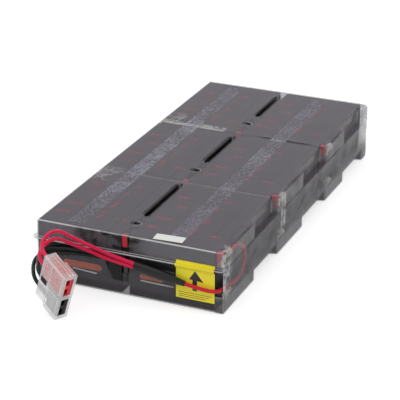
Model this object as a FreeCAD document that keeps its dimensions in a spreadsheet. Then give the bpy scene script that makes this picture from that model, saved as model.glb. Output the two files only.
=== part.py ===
"""UPS battery cartridge: six sealed lead-acid batteries in two thermoformed trays, wired in series.

Frame: millimetres, +Z up, origin on the floor under the middle of the trays. +Y runs along the
pack from its lead end to its back, and +X points to the side that carries the wiring channel.
"""
import FreeCAD, Part
import math
import os
import re
import Sketcher
from FreeCAD import Placement, Rotation, Vector

doc = FreeCAD.newDocument("BatteryCartridge")
sizes = doc.addObject("Spreadsheet::Sheet", "Sizes")

DRIVING_SIZES = [
    ("battery_long", 151.0, "battery, along the pack"),
    ("battery_tall", 94.0, "battery, from its base to its lid face, across the pack"),
    ("battery_wide", 65.0, "battery, the side that stands upright in the pack"),
    ("battery_corner", 2.5, "corner radius of the battery case"),
    ("lid_height", 15.0, "depth of the battery lid"),
    ("lid_joint", 0.9, "width of the joint groove under the lid"),
    ("lid_joint_depth", 0.5, "depth of that groove"),
    ("column_gap", 8.2, "between the two columns, holding the inner terminals"),
    ("near_row_gap", 0.9, "between the first and second rows"),
    ("far_row_gap", 4.4, "between the second and third rows, holding the cross jumper"),
    ("sheet_wall", 1.0, "thickness of the formed tray sheet"),
    ("side_gap", 0.3, "play between batteries and tray walls"),
    ("tape_thick", 0.15, "adhesive strip between batteries and top sheet"),
    ("channel_depth", 8.2, "inside depth of the wiring channel beside the lids"),
    ("channel_low", 15.0, "height at which the channel starts between the feet"),
    ("seam_height", 47.5, "height of the joint between the two trays"),
    ("flange_width", 3.5, "how far the joint flange stands out"),
    ("flange_corner", 4.0, "corner radius of the flange"),
    ("plan_corner", 2.5, "upright corner radius of the trays"),
    ("rim_radius", 3.0, "edge radius round the top sheet"),
    ("foot_radius", 2.0, "edge radius under the bottom tray"),
    ("bulge_lead_in", 3.0, "bulges start this far before their battery"),
    ("bulge_reach_1", 82.0, "first bulge, from the battery's near face to its far end"),
    ("bulge_reach_2", 77.0, "second bulge"),
    ("bulge_reach_3", 62.0, "third bulge"),
    ("end_bulge", 18.0, "length of the short bulge at the back"),
    ("near_ramp", 3.0, "run of the sloped near side of a bulge"),
    ("far_ramp", 8.0, "run of the sloped far side of a bulge"),
    ("well_width", 5.6, "width of the wells formed into the column gap"),
    ("well_depth", 15.0, "depth of the long wells"),
    ("dimple_width", 5.8, "width of the round dimples"),
    ("dimple_depth", 4.0, "depth of the round dimples"),
    ("window_low", 15.5, "bottom of the lead window in the front wall"),
    ("window_shelf", 36.5, "height of the long shelf of that window"),
    ("window_top", 45.0, "top of the front windows, under the flange"),
    ("block_standoff", 5.6, "terminal block, height over the lid"),
    ("block_long", 6.0, "terminal block, along the pack"),
    ("block_tall", 13.0, "terminal block, upright"),
    ("block_setback", 1.5, "terminal block, from the battery's near face"),
    ("positive_height", 58.0, "middle of the positive terminal over the battery's underside"),
    ("negative_height", 16.0, "middle of the negative terminal over the battery's underside"),
    ("blade_width", 6.35, "terminal blade"),
    ("blade_thick", 0.8, "terminal blade"),
    ("blade_reach", 7.5, "terminal blade, height over the lid"),
    ("barrel_height", 4.1, "middle of a crimp barrel over the lid"),
    ("barrel_radius", 2.5, "crimp barrel"),
    ("barrel_start", 7.8, "crimp barrel, from the middle of the blade"),
    ("barrel_long", 11.5, "crimp barrel"),
    ("twin_barrel_long", 8.0, "double barrel of the outgoing negative terminal"),
    ("nylon_radius", 3.7, "nylon sleeve over a crimp barrel"),
    ("jumper_wire", 3.4, "series jumper, outside diameter"),
    ("lead_wire", 4.0, "outgoing lead, outside diameter"),
    ("connector_long", 36.2, "connector, from wire end to mating face"),
    ("connector_tall", 55.0, "connector, across its four contacts"),
    ("connector_thick", 15.0, "connector, thick part"),
    ("connector_neck", 12.6, "connector, thickness of the wire end"),
    ("connector_neck_long", 15.6, "connector, length of the wire end"),
    ("connector_split", 6.2, "connector, joint plane of the two shell halves"),
    ("connector_step", 4.2, "connector, how much lower corner the wire end lacks"),
    ("connector_wall", 1.0, "connector shell wall at the mating face"),
    ("housing_long", 19.0, "contact housing"),
    ("housing_thick", 10.8, "contact housing"),
    ("housing_tall", 23.4, "contact housing, two contacts high"),
    ("housing_play", 0.1, "contact housing, play in the shell"),
    ("contact_pitch", 11.8, "between the two contacts of a housing"),
]

DERIVED_SIZES = [
    ("pack_width", "=2*battery_tall+column_gap+channel_depth+2*sheet_wall+side_gap+flange_width"),
    ("pack_length", "=3*battery_long+near_row_gap+far_row_gap+2*(side_gap+sheet_wall+flange_width)"),
    ("case_left_1", "=flange_width+sheet_wall+side_gap-pack_width/2"),
    ("case_left_2", "=case_left_1+battery_tall+column_gap"),
    ("near_face_1", "=flange_width+sheet_wall+side_gap-pack_length/2"),
    ("near_face_2", "=near_face_1+battery_long+near_row_gap"),
    ("near_face_3", "=near_face_2+battery_long+far_row_gap"),
    ("back_face", "=near_face_3+battery_long"),
    ("lid_face_1", "=case_left_1+battery_tall"),
    ("lid_face_2", "=case_left_2+battery_tall"),
    ("gap_middle", "=lid_face_1+column_gap/2"),
    ("left_wall", "=case_left_1-side_gap-sheet_wall"),
    ("front_wall", "=near_face_1-side_gap-sheet_wall"),
    ("back_wall", "=back_face+side_gap+sheet_wall"),
    ("notch_wall", "=lid_face_2+side_gap+sheet_wall"),
    ("channel_wall", "=lid_face_2+channel_depth+sheet_wall"),
    ("battery_top", "=sheet_wall+battery_wide"),
    ("tray_top", "=battery_top+tape_thick+sheet_wall"),
]


def fill_sheet():
    """Write the driving sizes as plain numbers, then the sizes that follow from them."""
    for row, (alias, number, note) in enumerate(DRIVING_SIZES, start=1):
        sizes.set(f"A{row}", note)
        sizes.set(f"B{row}", str(number))
        sizes.setAlias(f"B{row}", alias)
    for row, (alias, formula) in enumerate(DERIVED_SIZES, start=len(DRIVING_SIZES) + 2):
        sizes.set(f"A{row}", alias.replace("_", " "))
        sizes.set(f"B{row}", formula)
        sizes.setAlias(f"B{row}", alias)
    doc.recompute()


def bound(expression):
    """The same expression as other objects of the document have to write it."""
    return re.sub(r"\b([a-z]\w*)\b", r"Sizes.\1", expression)


def number(expression):
    """Present value of an expression of sheet sizes, in millimetres."""
    return float(sizes.evalExpression(expression))


# ---------------------------------------------------------------- sketches and features

def part_body(label):
    body = doc.addObject("PartDesign::Body", label)
    body.Label = label
    return body


def place(part, x, y, z):
    """Bind a part's position to the sheet."""
    for axis, expression in zip("xyz", (x, y, z)):
        part.setExpression(f"Placement.Base.{axis}", bound(expression))


def empty_sketch(body, name, plane, offset):
    sketch = body.newObject("Sketcher::SketchObject", name)
    origin_plane = [item for item in body.Origin.OriginFeatures if item.Role == plane][0]
    sketch.AttachmentSupport = [(origin_plane, "")]
    sketch.MapMode = "FlatFace"
    sketch.setExpression("AttachmentOffset.Base.z", bound(offset))
    return sketch


def pin_point(sketch, geometry, end, place_values, expressions):
    """Hold a sketch point at two expressions measured from the sketch origin."""
    for kind, value, expression in zip(("DistanceX", "DistanceY"), place_values, expressions):
        index = sketch.addConstraint(Sketcher.Constraint(kind, -1, 1, geometry, end, value))
        sketch.setExpression(f"Constraints[{index}]", bound(expression))


def draw_polygon(sketch, corners):
    """Closed outline whose corners are pairs of sheet expressions."""
    spots = [Vector(number(x), number(y), 0) for x, y in corners]
    first = sketch.GeometryCount
    count = len(spots)
    for index in range(count):
        sketch.addGeometry(Part.LineSegment(spots[index], spots[(index + 1) % count]), False)
    for index in range(count):
        following = first + (index + 1) % count
        sketch.addConstraint(Sketcher.Constraint("Coincident", first + index, 2, following, 1))
    for index, corner in enumerate(corners):
        pin_point(sketch, first + index, 1, spots[index], corner)


def rectangle(left, low, right, high):
    return [(left, low), (right, low), (right, high), (left, high)]


def draw_circle(sketch, x, y, radius):
    first = sketch.GeometryCount
    centre = Vector(number(x), number(y), 0)
    sketch.addGeometry(Part.Circle(centre, Vector(0, 0, 1), number(radius)), False)
    pin_point(sketch, first, 3, centre, (x, y))
    index = sketch.addConstraint(Sketcher.Constraint("Radius", first, number(radius)))
    sketch.setExpression(f"Constraints[{index}]", bound(radius))


def draw_slot(sketch, x, near, far, radius):
    """Round-ended slot along the sketch's second axis."""
    first = sketch.GeometryCount
    reach = number(radius)
    low = Vector(number(x), number(near), 0)
    high = Vector(number(x), number(far), 0)
    side = Vector(reach, 0, 0)
    sketch.addGeometry(Part.LineSegment(low + side, high + side), False)
    sketch.addGeometry(Part.ArcOfCircle(Part.Circle(high, Vector(0, 0, 1), reach), 0, math.pi), False)
    sketch.addGeometry(Part.LineSegment(high - side, low - side), False)
    sketch.addGeometry(
        Part.ArcOfCircle(Part.Circle(low, Vector(0, 0, 1), reach), math.pi, 2 * math.pi), False)
    for line, arc, line_end, arc_end in ((0, 1, 2, 1), (2, 1, 1, 2), (2, 3, 2, 1), (0, 3, 1, 2)):
        sketch.addConstraint(
            Sketcher.Constraint("Tangent", first + line, line_end, first + arc, arc_end))
    pin_point(sketch, first + 3, 3, low, (x, near))
    pin_point(sketch, first + 1, 3, high, (x, far))
    index = sketch.addConstraint(Sketcher.Constraint("Radius", first + 1, reach))
    sketch.setExpression(f"Constraints[{index}]", bound(radius))


def pad(body, name, sketch, length, downwards=False):
    feature = body.newObject("PartDesign::Pad", name)
    feature.Profile = sketch
    feature.setExpression("Length", bound(length))
    feature.Reversed = downwards
    doc.recompute()
    return feature


def pocket(body, name, sketch, depth):
    """Cut a sketch into the body, turned to whichever side holds material."""
    before = body.Shape.Volume
    feature = body.newObject("PartDesign::Pocket", name)
    feature.Profile = sketch
    feature.setExpression("Length", bound(depth))
    doc.recompute()
    if before - feature.Shape.Volume < 1e-3:
        feature.Reversed = True
        doc.recompute()
    if before - feature.Shape.Volume < 1e-3:
        raise RuntimeError(f"{name} cuts nothing")
    return feature


def edges_where(feature, test):
    return [f"Edge{index}" for index, edge in enumerate(feature.Shape.Edges, start=1) if test(edge)]


def faces_where(feature, test):
    return [f"Face{index}" for index, face in enumerate(feature.Shape.Faces, start=1) if test(face)]


def runs_along(edge, axis):
    """True for a straight edge parallel to the axis."""
    if len(edge.Vertexes) < 2:
        return False
    chord = edge.Vertexes[1].Point - edge.Vertexes[0].Point
    straight = abs(chord.Length - edge.Length) < 1e-4
    return straight and edge.Length > 1e-3 and abs(chord.normalize().dot(axis)) > 0.999


def fillet(body, name, base, edges, radius):
    feature = body.newObject("PartDesign::Fillet", name)
    feature.Base = (base, edges)
    feature.setExpression("Radius", bound(radius))
    doc.recompute()
    return feature


def box(name, corner, extent):
    """Part::Box whose corner and extent are triples of sheet expressions."""
    item = doc.addObject("Part::Box", name)
    for side, expression in zip(("Length", "Width", "Height"), extent):
        item.setExpression(side, bound(expression))
    place(item, *corner)
    return item


def rod(name, start, direction, radius, length):
    """Part::Cylinder from a start triple, along +Y or +Z."""
    item = doc.addObject("Part::Cylinder", name)
    item.setExpression("Radius", bound(radius))
    item.setExpression("Height", bound(length))
    if direction == "y":
        item.Placement = Placement(Vector(), Rotation(Vector(1, 0, 0), -90))
    place(item, *start)
    return item


def cut(name, base, tool):
    item = doc.addObject("Part::Cut", name)
    item.Base = base
    item.Tool = tool
    return item


def fuse(name, pieces):
    item = doc.addObject("Part::MultiFuse", name)
    item.Shapes = pieces
    return item


def group(label, pieces):
    """Identical pieces kept together as one node of separate solids."""
    item = doc.addObject("Part::Compound", label)
    item.Label = label
    item.Links = pieces
    return item


# ---------------------------------------------------------------- batteries

def battery(label, column, row):
    """Sealed battery lying on its side: base at local X 0, lid at local X battery_tall."""
    body = part_body(label)
    stages = (
        ("Case", "0", "battery_tall-lid_height-lid_joint", "0"),
        ("Neck", "battery_tall-lid_height-lid_joint", "lid_joint", "lid_joint_depth"),
        ("Lid", "battery_tall-lid_height", "lid_height", "0"),
    )
    for stage, start, length, inset in stages:
        sketch = empty_sketch(body, f"{stage}Outline", "YZ_Plane", start)
        draw_polygon(sketch, rectangle(inset, inset, f"battery_long-{inset}", f"battery_wide-{inset}"))
        solid = pad(body, stage, sketch, length)

    long_edges = edges_where(solid, lambda edge: runs_along(edge, Vector(1, 0, 0)))
    corners = fillet(body, "Corners", solid, long_edges, "battery_corner")
    lid_plane = number("battery_tall")

    def on_end(edge):
        low, high = edge.BoundBox.XMin, edge.BoundBox.XMax
        return high < 0.01 or low > lid_plane - 0.01

    fillet(body, "EndEdges", corners, edges_where(corners, on_end), "battery_corner/2")
    vent = empty_sketch(body, "VentRecess", "YZ_Plane", "battery_tall")
    draw_polygon(vent, rectangle("battery_long/4", "battery_wide/4",
                                 "battery_long*0.9", "battery_wide*3/4"))
    pocket(body, "VentPocket", vent, "lid_joint_depth")
    place(body, f"case_left_{column}", f"near_face_{row}", "sheet_wall")
    return body


# ---------------------------------------------------------------- terminals

# Two leads leave the first negative terminal, one barrel each, side by side along the pack.
TWIN_OFFSETS = (-1.4, 2.7)


def terminal_places():
    """Name, lid plane, near face and height of all twelve terminals."""
    for column in (1, 2):
        for row in (1, 2, 3):
            for polarity in ("positive", "negative"):
                yield (f"{polarity}_{column}_{row}", polarity, f"lid_face_{column}",
                       f"near_face_{row}", f"sheet_wall+{polarity}_height")


def terminal_pieces():
    """Coloured blocks, blades, receptacles and nylon sleeves, as five groups."""
    blocks = {"positive": [], "negative": []}
    blades, receptacles, sleeves = [], [], []
    for name, polarity, lid, near, height in terminal_places():
        blade_y = f"{near}+block_setback+block_long/2"
        blade = box(f"Blade_{name}", (lid, f"{blade_y}-blade_thick/2", f"{height}-blade_width/2"),
                    ("blade_reach", "blade_thick", "blade_width"))
        block = box(f"Block_{name}", (lid, f"{near}+block_setback", f"{height}-block_tall/2"),
                    ("block_standoff", "block_long", "block_tall"))
        blocks[polarity].append(cut(f"SlottedBlock_{name}", block, blade))
        blades.append(blade)

        outgoing = name == "negative_1_1"
        clip = box(f"Clip_{name}",
                   (f"{lid}+block_standoff", f"{blade_y}-blade_thick*2", f"{height}-blade_width*0.62"),
                   ("blade_reach-block_standoff+blade_thick/2", "blade_thick*4", "blade_width*1.24"))
        barrel_x = f"{lid}+barrel_height"
        if outgoing:
            strap = box(f"Strap_{name}",
                        (f"{lid}+block_standoff", f"{blade_y}-blade_thick*2", f"{height}"),
                        ("blade_thick", "blade_thick*4", "barrel_start"))
            barrels = [rod(f"TwinBarrel_{index}",
                           (barrel_x, f"{blade_y}+{offset}", f"{height}+barrel_start-blade_thick"),
                           "z", "barrel_radius", "twin_barrel_long+blade_thick")
                       for index, offset in enumerate(TWIN_OFFSETS)]
            jackets = [rod(f"TwinJacket_{index}",
                           (barrel_x, f"{blade_y}+{offset}", f"{height}+barrel_start"),
                           "z", "nylon_radius-0.5", "twin_barrel_long")
                       for index, offset in enumerate(TWIN_OFFSETS)]
            barrel = fuse(f"Barrel_{name}", barrels)
            jacket = fuse(f"Jacket_{name}", jackets)
        else:
            strap = box(f"Strap_{name}",
                        (f"{lid}+block_standoff", blade_y, f"{height}-blade_width*0.35"),
                        ("blade_thick", "barrel_start", "blade_width*0.7"))
            barrel = rod(f"Barrel_{name}", (barrel_x, f"{blade_y}+barrel_start-blade_thick", height),
                         "y", "barrel_radius", "barrel_long+blade_thick")
            jacket = rod(f"Jacket_{name}", (barrel_x, f"{blade_y}+barrel_start", height),
                         "y", "nylon_radius", "barrel_long")
        brass = fuse(f"Brass_{name}", [clip, strap, barrel])
        receptacles.append(cut(f"Receptacle_{name}", brass, blade))
        sleeves.append(cut(f"Sleeve_{name}", jacket, barrel))
    group("positive_terminal_blocks", blocks["positive"])
    group("negative_terminal_blocks", blocks["negative"])
    group("terminal_blades", blades)
    group("wire_receptacles", receptacles)
    group("nylon_sleeves", sleeves)


# ---------------------------------------------------------------- trays

def bulged_plan(inset):
    """Plan outline of a tray whose right side bulges over each terminal end."""
    outer = f"channel_wall-{inset}"
    inner = f"notch_wall-{inset}"
    corners = [(f"left_wall+{inset}", f"front_wall+{inset}"), (outer, f"front_wall+{inset}")]
    for row in (1, 2, 3):
        near, reach = f"near_face_{row}", f"bulge_reach_{row}"
        if row > 1:
            corners.append((inner, f"{near}-bulge_lead_in+({inset})*0.7"))
            corners.append((outer, f"{near}-bulge_lead_in+near_ramp+({inset})*0.7"))
        corners.append((outer, f"{near}+{reach}-({inset})*0.4"))
        corners.append((inner, f"{near}+{reach}+far_ramp-({inset})*0.4"))
    corners.append((inner, f"back_face-end_bulge+({inset})*0.7"))
    corners.append((outer, f"back_face-end_bulge+near_ramp+({inset})*0.7"))
    corners.append((outer, f"back_wall-{inset}"))
    corners.append((f"left_wall+{inset}", f"back_wall-{inset}"))
    return corners


def flange(body, low):
    """Flat rim round the open side of a tray, from the middle of its wall outwards."""
    sketch = empty_sketch(body, "FlangeOutline", "XY_Plane", low)
    draw_polygon(sketch, rectangle("left_wall-flange_width", "front_wall-flange_width",
                                   "channel_wall", "back_wall+flange_width"))
    return sketch


def round_flange(body, rim):
    left = number("left_wall-flange_width") + 0.1
    right = number("channel_wall") - 0.1
    front = number("front_wall-flange_width") + 0.1
    back = number("back_wall+flange_width") - 0.1

    def at_corner(edge):
        if not runs_along(edge, Vector(0, 0, 1)):
            return False
        x, y = edge.Vertexes[0].X, edge.Vertexes[0].Y
        return (x < left or x > right) and (y < front or y > back)

    return fillet(body, "FlangeCorners", rim, edges_where(rim, at_corner), "flange_corner")


def hollow(body, base, open_plane):
    """Leave a sheet of even thickness, open at the given height."""
    shell = body.newObject("PartDesign::Thickness", "Sheet")
    shell.Base = (base, faces_where(base, lambda face: abs(face.BoundBox.ZMin - open_plane) < 0.01
                                    and abs(face.BoundBox.ZMax - open_plane) < 0.01))
    shell.setExpression("Value", bound("sheet_wall"))
    shell.Reversed = True
    doc.recompute()
    return shell


def upright_edges(feature):
    return edges_where(feature, lambda edge: runs_along(edge, Vector(0, 0, 1)))


def wells():
    """Long wells in the column gap: sheet expressions for near and far ends of each."""
    return [
        ("near_face_1+52", "near_face_1+140"),
        ("near_face_2+59", "near_face_2+140"),
        ("near_face_3+60", "near_face_3+132"),
    ]


def top_tray():
    body = part_body("top_tray")
    plan = empty_sketch(body, "BulgedPlan", "XY_Plane", "seam_height")
    draw_polygon(plan, bulged_plan("0"))
    skirt = pad(body, "Skirt", plan, "tray_top-seam_height")
    corners = fillet(body, "UprightCorners", skirt, upright_edges(skirt), "plan_corner")
    top = number("tray_top")
    rim = edges_where(corners, lambda edge: edge.BoundBox.ZMin > top - 0.01)
    rounded = fillet(body, "RoundedRim", corners, rim[:1], "rim_radius")
    hollow(body, rounded, number("seam_height"))

    sketch = flange(body, "seam_height")
    draw_polygon(sketch, bulged_plan("sheet_wall/2"))
    rim_pad = pad(body, "Flange", sketch, "sheet_wall")
    round_flange(body, rim_pad)

    for name, wall in (("Walls", "sheet_wall"), ("Hollows", "0")):
        long_wells = empty_sketch(body, f"Well{name}", "XY_Plane", "tray_top")
        for near, far in wells():
            draw_slot(long_wells, "gap_middle", near, far, f"well_width/2+{wall}")
        dimples = empty_sketch(body, f"Dimple{name}", "XY_Plane", "tray_top")
        for row in (1, 2, 3):
            draw_circle(dimples, "gap_middle", f"near_face_{row}+31", f"dimple_width/2+{wall}")
        if name == "Walls":
            pad(body, "WellPads", long_wells, "well_depth+sheet_wall", downwards=True)
            pad(body, "DimplePads", dimples, "dimple_depth+sheet_wall", downwards=True)
        else:
            pocket(body, "WellPockets", long_wells, "well_depth")
            pocket(body, "DimplePockets", dimples, "dimple_depth")
    return body


def bottom_tray():
    body = part_body("bottom_tray")
    plan = empty_sketch(body, "FootPlan", "XY_Plane", "0")
    draw_polygon(plan, bulged_plan("0"))
    pad(body, "Feet", plan, "channel_low")
    walls = empty_sketch(body, "WallPlan", "XY_Plane", "channel_low")
    draw_polygon(walls, rectangle("left_wall", "front_wall", "channel_wall", "back_wall"))
    upper = pad(body, "ChannelWalls", walls, "seam_height-channel_low")
    corners = fillet(body, "UprightCorners", upper, upright_edges(upper), "plan_corner")
    foot = edges_where(corners, lambda edge: edge.BoundBox.ZMax < 0.01)
    fillet(body, "RoundedFoot", corners, foot[:1], "foot_radius")

    channel = empty_sketch(body, "ChannelHollowPlan", "XY_Plane", "seam_height")
    draw_polygon(channel, rectangle("left_wall+sheet_wall", "front_wall+sheet_wall",
                                    "channel_wall-sheet_wall", "back_wall-sheet_wall"))
    pocket(body, "ChannelHollow", channel, "seam_height-channel_low-sheet_wall")
    feet = empty_sketch(body, "FootHollowPlan", "XY_Plane", "seam_height")
    draw_polygon(feet, bulged_plan("sheet_wall"))
    hollowed = pocket(body, "FootHollow", feet, "seam_height-sheet_wall")
    ramp_foot = number("channel_wall") - 1.5
    plan_points = [Vector(number(x), number(y), 0) for x, y in bulged_plan("sheet_wall")]
    inner = [p for p in plan_points if p.x < ramp_foot] + [plan_points[1], plan_points[-2]]

    def inner_corner(edge):
        spot = edge.Vertexes[0].Point
        spot.z = 0
        return runs_along(edge, Vector(0, 0, 1)) and min(spot.distanceToPoint(p) for p in inner) < 0.01

    smooth = fillet(body, "InnerCorners", hollowed, edges_where(hollowed, inner_corner),
                    "plan_corner-sheet_wall")
    floor = number("sheet_wall")
    rim = edges_where(smooth, lambda edge: abs(edge.BoundBox.ZMin - floor) < 0.01
                      and abs(edge.BoundBox.ZMax - floor) < 0.01)
    fillet(body, "InnerFoot", smooth, rim, "foot_radius-sheet_wall")

    sketch = flange(body, "seam_height-sheet_wall")
    inset = "sheet_wall/2"
    draw_polygon(sketch, rectangle(f"left_wall+{inset}", f"front_wall+{inset}",
                                   f"channel_wall-{inset}", f"back_wall-{inset}"))
    rim_pad = pad(body, "Flange", sketch, "sheet_wall")
    round_flange(body, rim_pad)

    window = empty_sketch(body, "LeadWindow", "XZ_Plane", "1-front_wall")
    draw_polygon(window, [
        ("case_left_1+5", "window_top"), ("case_left_1+5", "window_shelf-9"),
        ("case_left_1+13", "window_shelf-5.5"), ("case_left_1+30", "window_shelf"),
        ("lid_face_1-19", "window_shelf"), ("lid_face_1-9.5", "window_low"),
        ("case_left_2-1", "window_low"), ("case_left_2+1", "window_shelf"),
        ("case_left_2+55", "window_shelf"), ("case_left_2+58", "window_top"),
    ])
    opened = pocket(body, "LeadWindowCut", window, "1.5+sheet_wall")
    plane = number("front_wall") - 0.01
    depth = number("front_wall+sheet_wall") + 0.01

    def window_corner(edge):
        inside = edge.BoundBox.YMin > plane and edge.BoundBox.YMax < depth
        low = edge.BoundBox.ZMax < number("window_top") - 1
        return inside and low and runs_along(edge, Vector(0, 1, 0)) and edge.BoundBox.ZMin > 10

    fillet(body, "WindowCorners", opened, edges_where(opened, window_corner), "plan_corner")
    corner = empty_sketch(body, "CornerWindow", "XZ_Plane", "1-front_wall")
    draw_polygon(corner, rectangle("lid_face_2-2", "window_low+3", "channel_wall-sheet_wall",
                                   "window_top"))
    pocket(body, "CornerWindowCut", corner, "1.5+sheet_wall")
    return body


# ---------------------------------------------------------------- strips and labels

def adhesive_strips():
    """Two strips of adhesive tape between the batteries and the top sheet."""
    for label, left, near in (("left_adhesive_strip", "case_left_1+30", "near_face_1+10"),
                              ("right_adhesive_strip", "case_left_2+36", "near_face_1+18")):
        strip = box(label, (left, near, "battery_top"), ("18", f"back_face-10-({near})", "tape_thick"))
        strip.Label = label


def top_label():
    label = box("top_label", ("case_left_2+25", "near_face_1+2.4", "tray_top"), ("31", "13", "0.2"))
    label.Label = "top_label"
    label.Placement.Rotation = Rotation(Vector(0, 0, 1), 4)


def front_label():
    """Label on both front walls, folded over the flange between them."""
    body = part_body("front_label")
    thick = "0.2"
    sketch = empty_sketch(body, "FoldedProfile", "YZ_Plane", "case_left_2+52")
    wall, lip = "front_wall", "front_wall-flange_width"
    over, under = "seam_height+sheet_wall", "seam_height-sheet_wall"
    draw_polygon(sketch, [
        (wall, f"{over}+3"), (wall, over), (lip, over), (lip, under), (wall, f"{under}-4"),
        (wall, f"{over}-38"), (f"{wall}-{thick}", f"{over}-38"),
        (f"{wall}-{thick}", f"{under}-4-{thick}"), (f"{lip}-{thick}", f"{under}-{thick}"),
        (f"{lip}-{thick}", f"{over}+{thick}"), (f"{wall}-{thick}", f"{over}+{thick}"),
        (f"{wall}-{thick}", f"{over}+3"),
    ])
    pad(body, "Sheet", sketch, "41.5")
    return body


# ---------------------------------------------------------------- wires

def tube(label, points, diameter):
    """Wire along straight runs joined by tangent arcs as large as the runs allow."""
    spots = [Vector(*point) for point in points]
    runs = [(b - a).Length for a, b in zip(spots, spots[1:])]
    edges, start, radii = [], spots[0], []
    for index in range(1, len(spots) - 1):
        before = (spots[index] - spots[index - 1]).normalize()
        after = (spots[index + 1] - spots[index]).normalize()
        turn = before.getAngle(after)
        setback = 0.45 * min(runs[index - 1], runs[index])
        arc_start = spots[index] - before * setback
        arc_end = spots[index] + after * setback
        radius = setback / math.tan(turn / 2)
        centre_way = (after - before).normalize()
        middle = spots[index] + centre_way * (radius / math.cos(turn / 2) - radius)
        edges.append(Part.LineSegment(start, arc_start).toShape())
        edges.append(Part.Arc(arc_start, middle, arc_end).toShape())
        radii.append(radius)
        start = arc_end
    edges.append(Part.LineSegment(start, spots[-1]).toShape())
    path = Part.Wire(edges)
    direction = (spots[1] - spots[0]).normalize()
    ring = Part.Wire(Part.Circle(spots[0], direction, diameter / 2).toShape())
    wire = doc.addObject("Part::Feature", label)
    wire.Label = label
    wire.Shape = path.makePipeShell([ring], True, True)
    expected = path.Length * math.pi * diameter ** 2 / 4
    shown = ", ".join(f"{radius:.0f}" for radius in radii)
    print(f"{label}: length {path.Length:.0f}, volume ratio {wire.Shape.Volume / expected:.4f}, "
          f"radii {shown}")
    if abs(wire.Shape.Volume / expected - 1) > 0.005:
        raise RuntimeError(f"{label} isn't a whole tube")
    return wire


def series_jumper(label, column, row_from, row_to, dips):
    """Jumper from a negative barrel to the next battery's positive one, in the YZ plane.

    dips are the inner points: distance from the start and height over the battery's underside.
    """
    x = number(f"lid_face_{column}+barrel_height")
    barrel_end = "block_setback+block_long/2+barrel_start+barrel_long"
    start = number(f"near_face_{row_from}+{barrel_end}")
    finish = number(f"near_face_{row_to}+{barrel_end}")
    low = number("sheet_wall+negative_height")
    high = number("sheet_wall+positive_height")
    floor = number("sheet_wall")
    inner = [(x, (start if base == "start" else finish) + along, floor + up)
             for base, along, up in dips]
    points = [(x, start, low), *inner, (x, finish, high)]
    tube(label, points, number("jumper_wire"))


def series_jumpers():
    forward = [("start", 19, 16), ("start", 42, 17), ("start", 70, 25), ("start", 100, 32),
               ("finish", -22, 36), ("finish", 4, 37), ("finish", 20, 38.5), ("finish", 28.5, 47),
               ("finish", 21, 57), ("finish", 9, 58)]
    series_jumper("front_right_jumper", 2, 1, 2, forward)
    series_jumper("rear_right_jumper", 2, 2, 3, forward)
    backward = [("start", 8, 16), ("start", 16, 18), ("start", 17.5, 26), ("start", 8, 29),
                ("start", -18, 29), ("start", -52, 28), ("start", -90, 29), ("finish", 40, 31),
                ("finish", 22, 37), ("finish", 15, 50), ("finish", 8, 58)]
    series_jumper("rear_left_jumper", 1, 3, 2, backward)
    series_jumper("front_left_jumper", 1, 2, 1, backward)
    cross_jumper()


def cross_jumper():
    """From the last right battery, through the row gap, to the last left battery."""
    out_x = number("lid_face_2+barrel_height")
    gap_x = number("gap_middle")
    barrel_end = number("near_face_3+block_setback+block_long/2+barrel_start+barrel_long")
    gap_y = number("near_face_3-far_row_gap/2")
    floor = number("sheet_wall")
    low = number("sheet_wall+negative_height")
    high = number("sheet_wall+positive_height")
    level = floor + 38
    tube("cross_jumper", [
        (out_x, barrel_end, low), (out_x, barrel_end + 10, low), (out_x, barrel_end + 20, low + 3),
        (out_x, barrel_end + 24, low + 14), (out_x, barrel_end + 14, level - 0.5),
        (out_x, barrel_end - 6, level + 0.5), (out_x, gap_y, level), (out_x - 12, gap_y, level),
        (out_x - 30, gap_y, level - 1), (out_x - 60, gap_y, level + 1),
        (gap_x + 20, gap_y, level - 0.5), (gap_x, gap_y, level), (gap_x, gap_y + 14, level), (gap_x, barrel_end - 3, level - 1),
        (gap_x, barrel_end + 12, level), (gap_x, barrel_end + 23, level + 4),
        (gap_x, barrel_end + 23, level + 15), (gap_x, barrel_end + 11, high), (gap_x, barrel_end, high),
    ], number("jumper_wire"))


# Routes of the outgoing leads, chosen by hand, between their terminal and their connector ends.
POSITIVE_LEAD = [
    (100.0, -192.0, 59.0), (101.6, -179.0, 55.5), (101.7, -168.5, 47.0), (101.8, -166.5, 34.0),
    (102.0, -173.0, 24.0), (102.1, -186.0, 20.2), (102.1, -200.0, 21.2), (102.1, -212.0, 24.6),
    (102.0, -226.0, 26.2), (99.5, -235.3, 26.2),
]
SPLICE_START = Vector(65.7, -235.15, 28.8)
SPLICE_END = Vector(10.7, -236.2, 38.6)
RED_LEAD_OUTER = [
    (-19.5, -238.4, 47.7), (-34.8, -239.2, 52.4), (-46.0, -241.7, 57.0), (-56.5, -246.5, 63.5),
    (-63.0, -254.5, 71.0), (-68.0, -264.5, 72.0), (-70.6, -274.5, 67.5), (-67.6, -283.0, 62.9),
]
RED_LEAD_INNER = [
    (-19.6, -238.4, 42.0), (-34.9, -239.2, 46.6), (-46.0, -241.4, 50.4), (-57.5, -244.7, 54.8),
    (-66.0, -252.5, 61.5), (-71.0, -262.0, 61.3), (-73.6, -273.0, 57.0), (-71.6, -281.5, 52.0),
]
BLACK_LEAD_UPPER = [
    (-2.2, -221.95, 42.9), (-3.2, -231.8, 42.9), (-13.0, -231.9, 42.9), (-32.0, -231.9, 42.8),
    (-52.0, -232.0, 42.2), (-70.0, -232.4, 40.8), (-85.5, -234.0, 39.0), (-91.0, -243.5, 37.5),
    (-86.5, -256.5, 36.2), (-80.5, -267.5, 36.0), (-75.5, -278.0, 37.2),
]
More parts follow.
